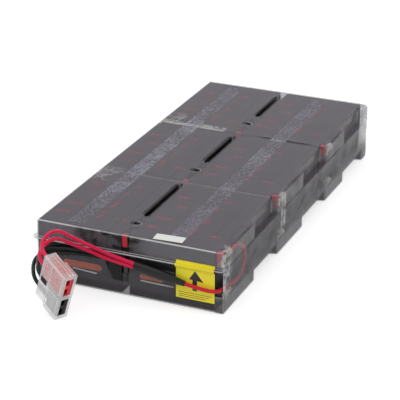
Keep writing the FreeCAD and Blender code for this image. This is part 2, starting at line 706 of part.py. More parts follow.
BLACK_LEAD_LOWER = [
    (-2.2, -226.05, 38.7), (-3.4, -231.8, 38.7), (-13.0, -231.9, 38.7), (-32.0, -232.0, 38.6),
    (-52.0, -232.1, 37.8), (-70.0, -232.9, 35.9), (-86.5, -234.7, 34.1), (-94.0, -244.5, 32.8),
    (-90.5, -258.5, 31.8), (-85.0, -270.0, 30.2), (-79.0, -279.5, 28.0),
]


def outgoing_leads():
    """Leads from the two end terminals to the connector, and the sleeve over the splice."""
    diameter = number("lead_wire")
    setback = number("block_setback+block_long/2")
    plus = (number("lid_face_2+barrel_height"),
            number("near_face_1+barrel_start+barrel_long") + setback,
            number("sheet_wall+positive_height"))
    along = (SPLICE_END - SPLICE_START).normalize()
    tube("positive_lead",
         [plus, *POSITIVE_LEAD, tuple(SPLICE_START - along * 17.5), tuple(SPLICE_START)], diameter)
    across = Vector(-along.z, 0, along.x)
    if across.z < 0:
        across = across * -1
    for label, side, level, route in (("red_lead_outer", 1, 1, RED_LEAD_OUTER),
                                      ("red_lead_inner", -1, 0, RED_LEAD_INNER)):
        start = SPLICE_END + across * side * (diameter / 2 + 0.15)
        tube(label, [tuple(start), tuple(start + along * 14), *route,
                     *connector_entry("red", level)], diameter)

    for label, offset, level, route in (
            ("black_lead_upper", TWIN_OFFSETS[1], 1, BLACK_LEAD_UPPER),
            ("black_lead_lower", TWIN_OFFSETS[0], 0, BLACK_LEAD_LOWER)):
        minus = (number("lid_face_1+barrel_height"), number("near_face_1") + setback + offset,
                 number("sheet_wall+negative_height+barrel_start+twin_barrel_long"))
        tube(label, [minus, *route, *connector_entry("black", level)], diameter)
    splice_sleeve()


def splice_sleeve():
    """Shrink sleeve over the splice, from the single lead to the two red ones."""
    along = SPLICE_END - SPLICE_START
    sections = ((0.0, 2.7, 2.4), (0.18, 3.9, 3.1), (0.5, 5.6, 3.9), (0.8, 5.4, 3.7), (1.0, 4.6, 2.7))
    rings = []
    for share, half_tall, half_deep in sections:
        ring = Part.Wire(Part.Ellipse(Vector(), half_tall, half_deep).toShape())
        ring.Placement = Placement(Vector(0, 0, share * along.Length), Rotation())
        rings.append(ring)
    sleeve = doc.addObject("Part::Feature", "splice_sleeve")
    sleeve.Label = "splice_sleeve"
    sleeve.Shape = Part.makeLoft(rings, True, False)
    sleeve.Placement = Placement(SPLICE_START, Rotation(Vector(0, 0, 1), along))
    return sleeve


# ---------------------------------------------------------------- connector

CONNECTOR_SPOT = Vector(-42.9, -307.75, 0.34)
CONNECTOR_TURN = Rotation(-29.0, 20.6, -1.3)
LOW_CORNER = {"black": "connector_tall/2-housing_tall-1", "red": "connector_tall/2+2"}


def contact_level(colour, index):
    """Height of a contact over the connector's lower edge, in its own frame."""
    return f"{LOW_CORNER[colour]}+(housing_tall-contact_pitch)/2+{index}*contact_pitch"


def connector_entry(colour, index):
    """Last two points of a lead: outside the wire end, then against the contact housing."""
    rear = -number("connector_wall+housing_long")
    outside = -number("connector_long") - 6
    level = number(contact_level(colour, index))
    return [tuple(CONNECTOR_SPOT + CONNECTOR_TURN.multVec(Vector(x, number("connector_split"), level)))
            for x in (outside, rear)]


def seat_connector(part, label):
    """Move a piece built in the connector's own frame to where the connector rests."""
    part.Label = label
    part.Placement = Placement(CONNECTOR_SPOT, CONNECTOR_TURN)


def connector():
    """Two-part clear shell round a red and a black contact housing.

    Own frame: mating face at X 0, wire end at X -connector_long, lower edge on Z 0.
    """
    tall, thick = "connector_tall", "connector_thick"
    neck_start = "connector_neck_long-connector_long"
    pockets = []
    for colour, low in LOW_CORNER.items():
        pockets.append(box(f"Pocket_{colour}",
                           ("0-connector_wall-housing_long-housing_play", "2-housing_play",
                            f"{low}-housing_play"),
                           ("housing_long+housing_play", "housing_thick+2*housing_play",
                            "housing_tall+2*housing_play")))
        pockets.append(box(f"Window_{colour}", ("0-connector_wall*2", "3", f"{low}+1"),
                           ("connector_wall*3", "housing_thick-2", "housing_tall-2")))
        for index in range(2):
            hole = doc.addObject("Part::Cylinder", f"WireHole_{colour}_{index}")
            hole.setExpression("Radius", bound("lead_wire/2+0.15"))
            hole.setExpression("Height", bound("connector_long-housing_long"))
            hole.Placement = Placement(Vector(), Rotation(Vector(0, 1, 0), 90))
            place(hole, "0-connector_long-1", "connector_split", contact_level(colour, index))
            pockets.append(hole)
    inside = fuse("ShellInside", pockets)
    halves = {
        "front": ("0", "connector_split", "connector_split"),
        "rear": ("connector_split", "connector_thick-connector_split", "connector_neck-connector_split"),
    }
    for half, (start, thick, neck_thick) in halves.items():
        front_block = box(f"Block_{half}", (neck_start, start, "0"),
                          ("connector_long-connector_neck_long", thick, tall))
        neck = box(f"Neck_{half}", ("0-connector_long", start, "connector_step"),
                   ("connector_neck_long", neck_thick, "connector_tall-connector_step"))
        pieces = [front_block, neck]
        if half == "rear":
            pieces += [box(f"Rail_{index}", ("0-connector_long+1", f"connector_split+{offset}", tall),
                           ("connector_long-5", "1", "0.8"))
                       for index, offset in enumerate(("0.8", "4.4"))]
        solid = fuse(f"Solid_{half}", pieces)
        seat_connector(cut(f"connector_shell_{half}", solid, inside), f"connector_shell_{half}")

    contacts = []
    for colour, low in LOW_CORNER.items():
        block = box(f"HousingBlock_{colour}", ("0-connector_wall-housing_long", "2", low),
                    ("housing_long", "housing_thick", "housing_tall"))
        cavities = []
        for index in range(2):
            level = contact_level(colour, index)
            cavities.append(box(f"Cavity_{colour}_{index}",
                                ("0-connector_wall-9", "connector_split-1.9", f"{level}-3.6"),
                                ("10", "3.8", "7.2")))
            contacts.append(box(f"Contact_{colour}_{index}",
                                ("0-connector_wall-9", "connector_split-0.6", f"{level}-2.8"),
                                ("7", "1.2", "5.6")))
        cavity = fuse(f"Cavities_{colour}", cavities)
        seat_connector(cut(f"{colour}_contact_housing", block, cavity), f"{colour}_contact_housing")
    seat_connector(group("connector_contacts", contacts), "connector_contacts")


# ---------------------------------------------------------------- the whole pack

def sub_parts():
    """Top-level objects: those with a label of their own that no other object uses."""
    return [item for item in doc.Objects if item.Label in NODE_NAMES]


BATTERIES = [(f"battery_{side}_{row}", column, row)
             for column, side in ((1, "left"), (2, "right")) for row in (1, 2, 3)]
NODE_NAMES = [name for name, column, row in BATTERIES] + [
    "positive_terminal_blocks", "negative_terminal_blocks", "terminal_blades", "wire_receptacles",
    "nylon_sleeves", "top_tray", "bottom_tray", "left_adhesive_strip", "right_adhesive_strip",
    "top_label", "front_label", "front_right_jumper", "rear_right_jumper", "rear_left_jumper",
    "front_left_jumper", "cross_jumper", "positive_lead", "splice_sleeve", "red_lead_outer",
    "red_lead_inner", "black_lead_upper", "black_lead_lower", "connector_shell_front",
    "connector_shell_rear", "red_contact_housing", "black_contact_housing", "connector_contacts",
]


def build():
    fill_sheet()
    for name, column, row in BATTERIES:
        battery(name, column, row)
    terminal_pieces()
    top_tray()
    bottom_tray()
    adhesive_strips()
    top_label()
    front_label()
    series_jumpers()
    outgoing_leads()
    connector()
    doc.recompute()


def check_and_write():
    failed = [item.Name for item in doc.Objects if {"Invalid", "Error"} & set(item.State)]
    if failed:
        raise RuntimeError(f"failed objects: {failed}")
    parts = sub_parts()
    missing = set(NODE_NAMES) - {part.Label for part in parts}
    if missing or len(parts) != len(NODE_NAMES):
        raise RuntimeError(f"missing or doubled parts: {missing}")
    for part in parts:
        if part.Shape.isNull() or not part.Shape.isValid() or not part.Shape.Solids:
            raise RuntimeError(f"{part.Label} has no valid solid")
    os.makedirs("parts", exist_ok=True)
    for part in parts:
        part.Shape.exportStep(f"parts/{part.Label}.step")
    print(f"wrote {len(parts)} parts")


build()
check_and_write()
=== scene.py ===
"""Finish of a replacement battery cartridge: leads, prints, labels, connector and materials."""

import math
from functools import partial, reduce
from types import SimpleNamespace

import bmesh
import bpy
from bpy.props import FloatProperty, FloatVectorProperty, PointerProperty
from bpy.types import Operator, Panel, PropertyGroup
from mathutils import Euler, Matrix, Vector


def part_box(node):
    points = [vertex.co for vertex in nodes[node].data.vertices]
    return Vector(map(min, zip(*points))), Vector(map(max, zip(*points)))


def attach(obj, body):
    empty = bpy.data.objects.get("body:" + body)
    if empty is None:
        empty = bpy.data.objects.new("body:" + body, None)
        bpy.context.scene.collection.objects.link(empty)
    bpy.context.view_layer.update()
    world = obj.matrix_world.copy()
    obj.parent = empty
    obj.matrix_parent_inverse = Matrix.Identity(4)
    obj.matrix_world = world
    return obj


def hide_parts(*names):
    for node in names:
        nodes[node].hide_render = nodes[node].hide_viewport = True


bl_info = {
    "name": "Battery cartridge finish",
    "version": (1, 0, 0),
    "blender": (4, 5, 0),
    "location": "View3D > Sidebar > Cartridge",
    "description": "Leads, prints, labels and materials of a tray-packed battery cartridge",
    "category": "Object",
}

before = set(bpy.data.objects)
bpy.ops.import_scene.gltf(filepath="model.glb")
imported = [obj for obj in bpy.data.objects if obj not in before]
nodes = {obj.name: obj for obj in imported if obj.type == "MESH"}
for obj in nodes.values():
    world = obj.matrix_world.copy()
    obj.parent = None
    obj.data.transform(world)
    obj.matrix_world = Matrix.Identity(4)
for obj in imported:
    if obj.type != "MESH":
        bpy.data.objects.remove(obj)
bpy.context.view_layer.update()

MM = 0.001
BATTERIES = [f"battery_{side}_{row}" for side in ("left", "right") for row in (1, 2, 3)]
JUMPERS = ("front_right_jumper", "rear_right_jumper", "rear_left_jumper", "front_left_jumper",
           "cross_jumper")

# The connector has its own frame: X to the mating face, Y through its thickness, Z up its height.
CONNECTOR = Matrix.LocRotScale(
    Vector((-0.0429, -0.30775, 0.00034)),
    Euler((math.radians(-1.3), math.radians(20.6), math.radians(-29.0))), None)

# Length in metres, finish, far end and route in millimetres of each lead.
LEADS = {
    "positive_lead": (0.160, "wire_deep", "fitting", [
        (100.0, -205.35, 59.0), (100.0, -192.0, 59.0), (101.6, -179.0, 55.5), (101.7, -168.5, 47.0),
        (101.8, -166.5, 34.0), (102.0, -173.0, 24.0), (102.1, -186.0, 20.2), (102.1, -200.0, 21.2),
        (102.1, -212.0, 24.6), (102.0, -226.0, 26.2), (99.5, -235.3, 26.2),
        (82.926, -234.821, 25.731), (65.7, -235.15, 28.8)]),
    "red_lead_outer": (0.151, "wire_red", "connector", [
        (11.077, -236.2, 40.716), (-2.703, -236.463, 43.172), (-19.5, -238.4, 47.7),
        (-34.8, -239.2, 52.4), (-46.0, -241.7, 57.0), (-56.5, -246.5, 63.5), (-63.0, -254.5, 71.0),
        (-68.0, -264.5, 72.0), (-70.6, -274.5, 67.5), (-67.6, -283.0, 62.9),
        (-59.479, -290.251, 59.133), (-41.304, -300.326, 51.322)]),
    "red_lead_inner": (0.150, "wire_red", "connector", [
        (10.323, -236.2, 36.484), (-3.458, -236.463, 38.939), (-19.6, -238.4, 42.0),
        (-34.9, -239.2, 46.6), (-46.0, -241.4, 50.4), (-57.5, -244.7, 54.8), (-66.0, -252.5, 61.5),
        (-71.0, -262.0, 61.3), (-73.6, -273.0, 57.0), (-71.6, -281.5, 52.0),
        (-63.239, -288.473, 48.09), (-45.064, -298.548, 40.28)]),
    "black_lead_upper": (0.180, "wire_black", "connector", [
        (-2.2, -221.95, 32.8), (-2.2, -221.95, 42.9), (-3.2, -231.8, 42.9), (-13.0, -231.9, 42.9),
        (-32.0, -231.9, 42.8), (-52.0, -232.0, 42.2), (-70.0, -232.4, 40.8), (-85.5, -234.0, 39.0),
        (-91.0, -243.5, 37.5), (-86.5, -256.5, 36.2), (-80.5, -267.5, 36.0), (-75.5, -278.0, 37.2),
        (-67.891, -286.273, 34.427), (-49.716, -296.348, 26.617)]),
    "black_lead_lower": (0.175, "wire_black", "connector", [
        (-2.2, -226.05, 32.8), (-2.2, -226.05, 38.7), (-3.4, -231.8, 38.7), (-13.0, -231.9, 38.7),
        (-32.0, -232.0, 38.6), (-52.0, -232.1, 37.8), (-70.0, -232.9, 35.9), (-86.5, -234.7, 34.1),
        (-94.0, -244.5, 32.8), (-90.5, -258.5, 31.8), (-85.0, -270.0, 30.2), (-79.0, -279.5, 28.0),
        (-71.651, -284.495, 23.385), (-53.476, -294.57, 15.574)]),
}

# Steps on the trays in metres: the axis, and where the mask is 0 and where it is 1.
STEPS = {
    "top": ("z", 0.0655, 0.0660),
    "upper": ("z", 0.0485, 0.0495),
    "front": ("y", -0.2285, -0.2295),
    "right": ("x", 0.095, 0.0965),
    "left": ("x", -0.016, -0.024),
    "left_flange": ("x", -0.1015, -0.1025),
    "well_level": ("z", 0.040, 0.042),
    "well_end": ("x", -0.008, -0.004),
    "slot_level": ("z", 0.054, 0.056),
    "flange_end": ("y", -0.222, -0.226),
    "right_end": ("y", -0.208, -0.222),
    "fold_level": ("z", 0.0620, 0.0640),
    "pane_end": ("x", 0.050, 0.045),
    "low": ("z", 0.046, 0.014),
    "low_right": ("z", 0.054, 0.034),
    "foot": ("z", 0.024, 0.010),
}

# Bands on the trays in metres: the axis, the middle and half the width.
BANDS = {
    "row_slot": ("y", 0.0765, 0.0024),
    "right_rows": ("x", 0.0535, 0.0320),
    "clear_front": ("x", -0.020, 0.038),
    "flange": ("z", 0.0479, 0.0006),
    "front_fold": ("z", 0.0664, 0.0007),
    "ledge": ("y", 0.0795, 0.0006),
    "press_line": ("y", -0.0822, 0.0006),
    "bend_near": ("y", 0.0758, 0.0007),
    "bend_middle": ("y", 0.0800, 0.0006),
    "bend_far": ("y", 0.0845, 0.0006),
    "left_edge": ("x", -0.090, 0.014),
    "crumple_near": ("y", -0.092, 0.020),
    "crumple_far": ("y", 0.098, 0.012),
    "scuff_near": ("y", -0.0665, 0.0016),
    "scuff_far": ("y", -0.0585, 0.0024),
    "scuff_level": ("z", 0.046, 0.020),
    "end_level": ("z", 0.044, 0.028),
    "seam": ("z", 0.0475, 0.0008),
    "pane_level": ("z", 0.0220, 0.0120),
}

# How much opacity each pale mark adds to the sheet, and how much each clear place takes away.
# Flange, front_fold, press and well_end are painted highlights, right_end is a painted reflection,
# foot deepens the painted shade of the low right walls, and bends, crumples and scuffs are creases
# and wear.
PALE = {"flange": 0.50, "front_fold": 0.30, "press": 0.16, "well_end": 0.20, "bends": 0.60,
        "crumples": 0.22, "scuffs": 0.30, "right_end": 0.30, "foot": 0.25}
CLEARED = {"opening": 0.96, "seam": 0.85, "pane": 0.2, "left_flange": 0.6}

# Streaks in the sheet: where each mask starts and is whole, and its least and greatest value.
STREAKS = {"scuffed": (0.47, 0.57, 0.0, 1.0), "broken": (0.42, 0.52, 0.55, 1.0),
           "patched": (0.40, 0.52, 0.45, 0.95)}
WALL_PATCHES = 2.4

# How far the painted shade of the low walls, the painted highlight on the folds and on the folds at
# the right, and the pale marks change its colour.
TINT = {"low": 0.9, "fold": 0.6, "fold_right": 0.3, "marks": 2.2}

# Wells and dimples down the column gap, as (middle across, near, far, radius) in millimetres.
WELLS = ((-4.6, -174.0, -92.5, 3.6), (-5.6, -15.0, 59.5, 3.3), (-5.0, 141.0, 206.5, 2.6),
         (-5.4, -199.2, -199.0, 4.2), (-6.0, -44.8, -44.6, 4.2), (-6.4, 109.4, 109.6, 4.0),
         (-2.4, -199.2, -199.0, 3.6), (-2.4, -44.8, -44.6, 3.6), (-2.4, 109.4, 109.6, 3.6))

# Orange fields on the front ends in millimetres, as (left, right, low, high) and the two ends of
# the pale line under each.
END_FIELDS = ((-71.6, -28.7, 21.0, 28.0, ((-61.5, 19.4), (-34.4, 17.9))),
              (13.6, 39.7, 22.0, 27.4, ((14.6, 19.8), (50.7, 19.2))))
PALE_LINE = 1.6

# Red fields on a battery's upper side in millimetres, as (across, along, width, length) with the
# first two measured from its near left corner to the middle of the field.
SIDE_FIELDS = ((13, 31, 15, 6.5), (15, 54, 18, 6.5), (13, 112, 15, 6.5), (20, 88, 12, 6),
               (54, 38, 5.0, 22), (56, 66, 5.0, 17), (59, 117, 9, 6), (55, 96, 4.5, 11),
               (78, 34, 14, 5))

# Outline of the arrow, bars as (left, right, height) and face of the yellow label in millimetres.
ARROW = ((74.3, 42.4), (67.9, 32.4), (71.6, 32.2), (71.8, 20.6), (76.4, 20.4), (76.6, 31.8),
         (83.5, 31.2))
BARS = ((56.5, 92.5, 17.2), (56.5, 90.0, 14.9), (57.0, 86.0, 12.8))
BAR_THICK = 0.5
LABEL_FACE = -230.65

# Raised lines on the connector shell, painted white as highlights along its ribs and edges, in its
# own frame and in millimetres. Those on its front are (across, up) and (wide, tall), where 0 stands
# for the width of a rib, and the rails along its top are (through, long, wide).
RIB_DEPTH = 0.3
SHELL_FRONT = -0.1
SHELL_TOP = 55.05
SHELL_MIDDLE = -17.5
FRONT_RIB_HIGHLIGHTS = (((-17.5, 53.6), (33, 0)), ((-12.0, 31.0), (20, 0)), ((-2.2, 42.0), (0, 22)),
              ((-2.2, 14.0), (0, 24)), ((-11.6, 2.5), (19, 0)), ((-21.0, 29.0), (0, 50)),
              ((-9.0, 21.5), (0, 12)), ((-12.0, 26.0), (20, 0)))
TOP_RAIL_HIGHLIGHTS = ((7.5, 33, 0.9), (11.1, 33, 0.9), (0.3, 34, 0.6))
SHELL_SLOT = ((-28.8, SHELL_FRONT, 28.0), (9.5, RIB_DEPTH, 6.0))

# Finishes of one colour: name, colour, roughness, unevenness, bump and specular level.
FINISHES = (
    ("battery_case", "case", 0.42, 0.18, 0.25, 0.22),
    ("block_red", "block_red", 0.40, 0.10, 0.0, 0.50),
    ("block_black", "block_black", 0.45, 0.10, 0.0, 0.50),
    ("wire_red", "wire_red", 0.38, 0.06, 0.0, 0.30),
    ("wire_deep", "wire_deep", 0.38, 0.06, 0.0, 0.30),
    ("wire_black", "wire_black", 0.40, 0.10, 0.0, 0.22),
    ("shrink_sleeve", "shrink", 0.36, 0.25, 0.6, 0.30),
    ("housing_red", "housing_red", 0.50, 0.05, 0.0, 0.50),
    ("housing_black", "housing_black", 0.60, 0.05, 0.0, 0.22),
    ("nylon", "nylon", 0.45, 0.10, 0.0, 0.50),
    ("label_white", "paper", 0.55, 0.04, 0.0, 0.50),
    ("label_yellow", "yellow", 0.40, 0.04, 0.0, 0.50),
    ("tinned", "metal", 0.28, 0.12, 0.0, 0.50),
    ("ink", "ink", 0.50, 0.20, 0.0, 0.50),
    ("orange_print", "orange", 0.50, 0.15, 0.0, 0.50),
    ("white_print", "white_print", 0.50, 0.08, 0.0, 0.50),
    ("rib_line", "rib", 0.30, 0.04, 0.0, 0.50),
)
IN_COLUMN_GAP = ("nylon", "tinned")

# Camera, lamps as (name, place, size, power), and light from the sky and the floor.
CAMERA_PLACE = (0.65818, -1.62135, 0.77437)
CAMERA_TURN = (1.1608237, -0.0085293, 0.3983725)
CAMERA_LENS = 153.108
LAMPS = (("Key lamp", (-0.9, -1.3, 1.9), 1.4, 9.0),
         ("Top lamp", (0.3, 1.0, 2.0), 1.6, 8.0),
         ("Side lamp", (1.8, -0.5, 0.7), 0.9, 3.0))
LAMP_AIM = (0, 0, 0.03)
SKY_LIGHT = 0.62
FLOOR_LIGHT = 0.58
FLOOR_HALF = 4.0
FLOOR_DROP = 0.0002


# ---------------------------------------------------------------- settings

def colour(name, description, value):
    return FloatVectorProperty(name=name, description=description, default=value, min=0, max=1,
                               size=3, subtype="COLOR")


def length(name, description, millimetres):
    return FloatProperty(name=name, description=description, default=millimetres * MM, min=0,
                         unit="LENGTH", subtype="DISTANCE")


def share(name, description, value):
    return FloatProperty(name=name, description=description, default=value, min=0, max=1,
                         subtype="FACTOR")


class CartridgeColours(PropertyGroup):
    """Colours of the plastics, wires, papers and inks."""

    case: colour("Battery case", "Dark plastic of the battery cases", (0.0085, 0.0085, 0.0085))
    sheet: colour("Tray sheet", "Grey haze of the clear formed sheet", (0.208, 0.180, 0.222))
    # Painted light: the upright walls and the upper front wall get lighter copies of the sheet's
    # haze.
    sheet_wall_painted_light: colour("Tray walls", "Haze of the upright walls", (0.255, 0.240, 0.268))
    sheet_front_painted_light: colour("Upper front wall", "Haze of the upper tray's front wall",
                        (0.345, 0.330, 0.370))
    # Painted shade: the low walls get a darker haze towards the feet.
    sheet_low_shade: colour("Low walls", "Darker haze towards the feet", (0.085, 0.077, 0.090))
    sheet_pane: colour("Front panes", "Haze in front of the battery ends", (0.200, 0.190, 0.210))
    # Pale colour for painted highlights on folds, rims, the flange and press lines, and for real
    # creases and scuffs.
    sheet_highlight_and_wear: colour("Worn sheet", "Pale folds, rims, creases and scuffs", (0.80, 0.80, 0.78))
    wire_red: colour("Red wire", "Two red leads to the connector", (0.74, 0.004, 0.066))
    wire_deep: colour("Deep red wire", "Lead from the first terminal", (0.62, 0.008, 0.030))
    wire_black: colour("Black wire", "Negative leads and jumpers", (0.005, 0.005, 0.005))
    shrink: colour("Shrink sleeve", "Sleeve over the splice", (0.007, 0.007, 0.007))
    block_red: colour("Red block", "Positive terminal blocks", (0.62, 0.014, 0.03))
    block_black: colour("Black block", "Negative terminal blocks", (0.016, 0.016, 0.016))
    metal: colour("Tinned brass", "Blades, receptacles and contacts", (0.70, 0.66, 0.58))
    nylon: colour("Nylon", "Sleeves on the receptacles", (0.72, 0.68, 0.58))
    gap_shade: colour("Gap shade", "Metal and nylon deep in the column gap", (0.02, 0.02, 0.02))
    paper: colour("White label", "Paper of the label on the top", (0.78, 0.79, 0.76))
    yellow: colour("Yellow label", "Paper of the label on the front", (0.97, 0.83, 0.03))
    ink: colour("Black ink", "Arrow and bars on the yellow label", (0.012, 0.012, 0.010))
    orange: colour("Orange print", "Field printed on the battery ends", (0.95, 0.18, 0.06))
    red_print: colour("Red print", "Small fields on the battery sides", (0.52, 0.02, 0.03))
    white_print: colour("Pale print", "Thin line on the battery ends", (0.92, 0.92, 0.94))
    # Painted highlight: white of the raised lines along the shell's ribs and edges.
    rib: colour("Shell rib", "Raised lines on the connector shell", (0.95, 0.95, 0.94))
    shell: colour("Connector shell", "Clear plastic of the connector", (0.93, 0.93, 0.92))
    shell_red: colour("Red in the shell", "Wires that show in its facets", (0.80, 0.02, 0.04))
    housing_red: colour("Red housing", "Positive contact housing", (0.70, 0.016, 0.022))
    housing_black: colour("Black housing", "Negative contact housing", (0.005, 0.005, 0.005))
    tape: colour("Adhesive", "Milky strips under the top sheet", (0.56, 0.56, 0.70))
    tape_crease: colour("Adhesive crease", "Pale creases in the strips", (0.92, 0.92, 0.98))
    floor: colour("Floor", "Floor that the cartridge stands on", (0.74, 0.74, 0.74))


class CartridgeSizes(PropertyGroup):
    """Sizes of the leads, prints and raised lines."""

    lead_diameter: length("Lead diameter", "Outside diameter of the leads", 4.0)
    print_thick: length("Print thickness", "How far a printed field stands off its surface", 0.05)
    rib: length("Rib", "Width of the raised lines on the connector shell", 0.7)


class CartridgeSurface(PropertyGroup):
    """How clear the surfaces are, and how much painted highlight lies along their folds and rims.
    """

    haze: share("Haze", "Least share of light that a face of the sheet turns back", 0.272)
    glance: share("Glance", "Haze added where the sheet is seen at a low angle", 0.03)
    # Painted highlight: opacity of pale haze added along folds and rims.
    rim: share("Rim", "Haze added along folds and rims", 0.13)
    shell_haze: share("Shell haze", "Share of light that a face of the shell turns back", 0.20)
    shell_glance: share("Shell glance", "Haze added where the shell is seen at a low angle", 0.18)
    # Painted highlight: opacity of white haze added along the shell's edges.
    shell_rim_highlight: share("Shell rim", "Haze added along the shell's edges", 0.3)


# ---------------------------------------------------------------- nodes

def feed(tree, socket, value):
    """Links another node's output to a socket, or sets the socket to a value."""
    if isinstance(value, bpy.types.NodeSocket):
        tree.links.new(value, socket)
    elif value is not None:
        socket.default_value = value


def math_node(tree, operation, first, second=None, clamp=False):
    node = tree.nodes.new("ShaderNodeMath")
    node.operation = operation
    node.use_clamp = clamp
    for socket, value in zip(node.inputs, (first, second)):
        feed(tree, socket, value)
    return node.outputs[0]


def product(tree, *values):
    return reduce(partial(math_node, tree, "MULTIPLY"), values)


def greatest(tree, *values):
    return reduce(partial(math_node, tree, "MAXIMUM"), values)


def least(tree, *values):
    return reduce(partial(math_node, tree, "MINIMUM"), values)


def spread(tree, value, low, high, to_low=0.0, to_high=1.0):
    """Smooth step of a value from low to high."""
    node = tree.nodes.new("ShaderNodeMapRange")
    node.interpolation_type = "SMOOTHSTEP"
    for label, given in (("Value", value), ("From Min", low), ("From Max", high),
                         ("To Min", to_low), ("To Max", to_high)):
        feed(tree, node.inputs[label], given)
    return node.outputs[0]


def band(tree, distance, middle, half):
    """1 where a distance is within half of the middle, with a soft edge."""
    away = math_node(tree, "ABSOLUTE", math_node(tree, "SUBTRACT", distance, middle))
    return spread(tree, away, half * 1.15, half * 0.75)


def mixed(tree, mask, under, over):
    """A colour that turns from one, where the mask is 0, to another, where it is 1."""
    node = tree.nodes.new("ShaderNodeMix")
    node.data_type = "RGBA"
    node.clamp_factor = True
    tree.links.new(mask, node.inputs[0])
    for index, paint in ((6, under), (7, over)):
        feed(tree, node.inputs[index],
             paint if isinstance(paint, bpy.types.NodeSocket) else (*paint, 1))
    return node.outputs[2]


def object_place(tree):
    return tree.nodes.new("ShaderNodeTexCoord").outputs["Object"]


def true_normal(tree):
    return tree.nodes.new("ShaderNodeNewGeometry").outputs["True Normal"]


def axes(tree, vector):
    """X, Y and Z of a vector."""
    parts = tree.nodes.new("ShaderNodeSeparateXYZ")
    tree.links.new(vector, parts.inputs[0])
    return tuple(parts.outputs)


def new_group(name, inputs, outputs):
    """A node group of numbers: its inputs with their defaults, and the names of its outputs."""
    group = bpy.data.node_groups.new(name, "ShaderNodeTree")
    for label, value in inputs.items():
        socket = group.interface.new_socket(name=label, in_out="INPUT",
                                            socket_type="NodeSocketFloat")
        socket.default_value = value
    for label in outputs:
        group.interface.new_socket(name=label, in_out="OUTPUT", socket_type="NodeSocketFloat")
    return group, group.nodes.new("NodeGroupInput"), group.nodes.new("NodeGroupOutput")


def placed(tree, group, **values):
    """Places a node group with its own values and gives back its outputs."""
    node = tree.nodes.new("ShaderNodeGroup")
    node.node_tree = group
    for label, value in values.items():
        node.inputs[label].default_value = value
    return node.outputs


# ---------------------------------------------------------------- effects

def fold_mask():
    """1 where a surface turns between its flat walls: on rims, folds and rounded corners."""
    tree, inside, out = new_group("Folds and rims", {"Flat": 0.985, "Turned": 0.80}, ["Mask"])
    absolute = tree.nodes.new("ShaderNodeVectorMath")
    absolute.operation = "ABSOLUTE"
    tree.links.new(true_normal(tree), absolute.inputs[0])
    squarest = greatest(tree, *axes(tree, absolute.outputs[0]))
    tree.links.new(spread(tree, squarest, inside.outputs["Flat"], inside.outputs["Turned"]),
                   out.inputs["Mask"])
    return tree


def cloudiness():
    """Soft clouding of a clear or dark surface, with finer streaks in it."""
    tree, inside, out = new_group("Clouding", {"Scale": 20.0, "Streaks": 90.0, "Contrast": 0.3},
                                  ["Mask", "Height"])
    place = object_place(tree)
    weighted = []
    for label, detail, weight in (("Scale", 3.0, 0.65), ("Streaks", 4.0, 0.35)):
        noise = tree.nodes.new("ShaderNodeTexNoise")
        noise.inputs["Detail"].default_value = detail
        tree.links.new(place, noise.inputs["Vector"])
        tree.links.new(inside.outputs[label], noise.inputs["Scale"])
        weighted.append(product(tree, noise.outputs["Fac"], weight))
    blend = math_node(tree, "ADD", *weighted)
    centred = math_node(tree, "SUBTRACT", blend, 0.5)
    tree.links.new(product(tree, centred, inside.outputs["Contrast"]), out.inputs["Mask"])
    tree.links.new(blend, out.inputs["Height"])
    return tree


def crinkles():
    """Pale creases of film that has been pressed down and lifted again."""
    tree, inside, out = new_group("Crinkles", {"Scale": 120.0, "Strength": 0.5}, ["Mask"])
    place = object_place(tree)
    warp = tree.nodes.new("ShaderNodeTexNoise")
    warp.inputs["Scale"].default_value = 60.0
    warp.inputs["Detail"].default_value = 3.0
    tree.links.new(place, warp.inputs["Vector"])
    moved = tree.nodes.new("ShaderNodeVectorMath")
    moved.operation = "MULTIPLY_ADD"
    tree.links.new(warp.outputs["Color"], moved.inputs[0])
    moved.inputs[1].default_value = (0.02, 0.02, 0.02)
    tree.links.new(place, moved.inputs[2])
    cells = tree.nodes.new("ShaderNodeTexVoronoi")
    cells.feature = "DISTANCE_TO_EDGE"
    tree.links.new(moved.outputs[0], cells.inputs["Vector"])
    tree.links.new(inside.outputs["Scale"], cells.inputs["Scale"])
    lines = spread(tree, cells.outputs["Distance"], 0.10, 0.0)
    tree.links.new(product(tree, lines, inside.outputs["Strength"]), out.inputs["Mask"])
    return tree


def slot_distance():
    """Distance to the outline of a round-ended slot that runs along Y: below 0 inside it."""
    tree, inside, out = new_group(
        "Slot outline", {"Across": 0.0, "Near": 0.0, "Far": 0.1, "Radius": 0.004}, ["Distance"])
    x, y, _ = axes(tree, object_place(tree))
    nearest = least(tree, greatest(tree, y, inside.outputs["Near"]), inside.outputs["Far"])
    along = math_node(tree, "SUBTRACT", y, nearest)
    across = math_node(tree, "SUBTRACT", x, inside.outputs["Across"])
    squares = math_node(tree, "ADD", product(tree, along, along), product(tree, across, across))
    distance = math_node(tree, "SUBTRACT", math_node(tree, "SQRT", squares),
                         inside.outputs["Radius"])
    tree.links.new(distance, out.inputs["Distance"])
    return tree


def column_gap():
    """1 on what stands in the gap between the two columns, out of the light."""
    tree, inside, out = new_group("Column gap", {"Lit": 0.03, "Shaded": 0.02}, ["Mask"])
    x = axes(tree, object_place(tree))[0]
    tree.links.new(spread(tree, x, inside.outputs["Lit"], inside.outputs["Shaded"]),
                   out.inputs["Mask"])
    return tree


# ---------------------------------------------------------------- materials

def shader_of(material):
    return material.node_tree.nodes["Principled BSDF"]


def plain(name, base, roughness, **sockets):
    """A material with its colour and gloss set on the shader."""
    material = bpy.data.materials.new(name)
    material.use_nodes = True
    shader = shader_of(material)
    shader.inputs["Base Color"].default_value = (*base, 1)
    shader.inputs["Roughness"].default_value = roughness
    for label, value in sockets.items():
        shader.inputs[label.replace("_", " ")].default_value = value
    return material


